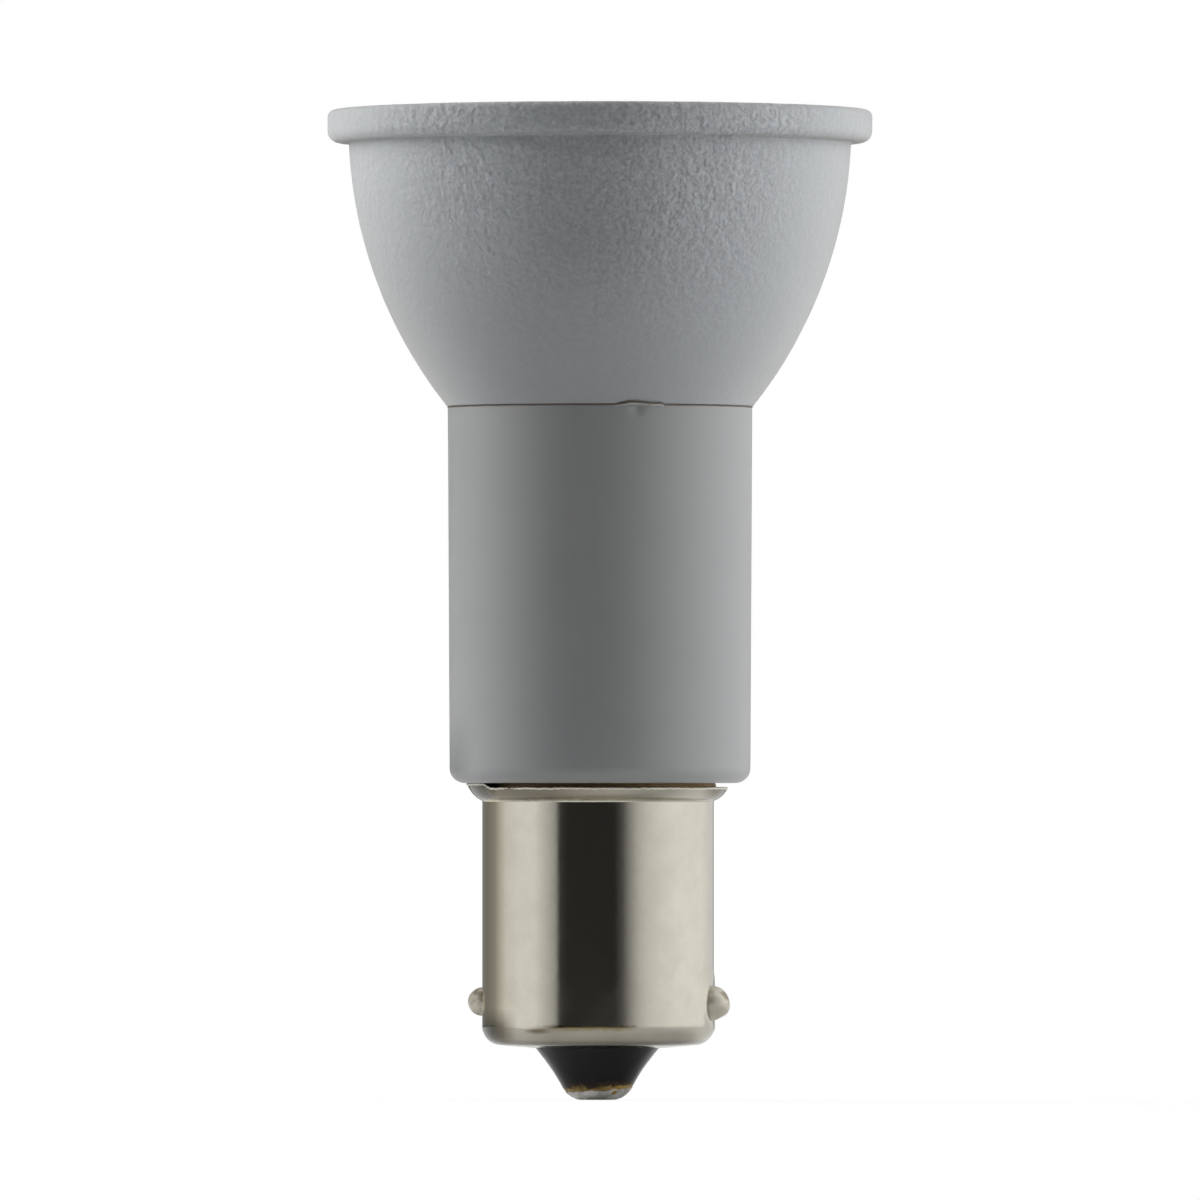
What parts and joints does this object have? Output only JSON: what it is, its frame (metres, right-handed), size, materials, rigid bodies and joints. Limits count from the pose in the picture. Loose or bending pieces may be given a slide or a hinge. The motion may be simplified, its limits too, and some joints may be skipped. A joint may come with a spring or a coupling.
{
  "type": "reflector bulb",
  "caption": "Reflector lamp: a flared, sand-textured grey bell with a rounded rim on a smooth neck, over a nickel bayonet cap with side pins, a black glass cone and a domed contact.",
  "frame": {"origin": "tip of the centre contact, on the lamp's axis, at the lowest point", "axes": "+Z along the axis from the cap towards the lens and rim; the front seen in the picture looks towards -Y; the bayonet pins lie near the X axis, turned 12 degrees so that the right pin comes forward"},
  "size_m": [0.0358, 0.0358, 0.065],
  "materials": {
    "bell_coat": "matte",
    "neck_plastic": "satin",
    "nickel_plate": "satin",
    "black_glass": "gloss",
    "tin_solder": "satin",
    "bare_brass": "satin",
    "clear_acrylic": "gloss",
    "ring_plastic": "satin",
    "led_ceramic": "matte",
    "phosphor_gel": "satin",
    "white_mask": "satin",
    "grey_pad": "matte",
    "screw_steel": "satin",
    "green_laminate": "satin",
    "ferrite": "matte",
    "copper_wire": "gloss",
    "capacitor_can": "satin",
    "chip_epoxy": "matte",
    "chip_ceramic": "matte",
    "red_insulation": "satin",
    "black_insulation": "satin",
    "white_insulation": "satin",
    "pale_cement": "matte"
  },
  "bodies": {
    "root": {"bell_housing": "bell_coat", "neck_sleeve": "neck_plastic", "cap_shell": "nickel_plate", "bayonet_pin_right": "nickel_plate", "bayonet_pin_left": "nickel_plate", "cap_insulator": "black_glass", "contact_solder": "tin_solder", "contact_plate": "bare_brass", "front_lens": "clear_acrylic", "lens_ring": "ring_plastic", "led_substrate": "led_ceramic", "led_phosphor": "phosphor_gel", "led_board": "white_mask", "board_screws": "screw_steel", "thermal_pad": "grey_pad", "led_lead_positive": "red_insulation", "led_lead_negative": "black_insulation", "driver_board": "green_laminate", "inductor_core": "ferrite", "inductor_winding": "copper_wire", "capacitor": "capacitor_can", "bridge_rectifier": "chip_epoxy", "driver_chip": "chip_epoxy", "rectifier_diode": "chip_epoxy", "chip_parts": "chip_ceramic", "centre_lead": "white_insulation", "side_lead": "black_insulation", "side_solder": "tin_solder", "cap_cement": "pale_cement"}
  },
  "joints": []
}
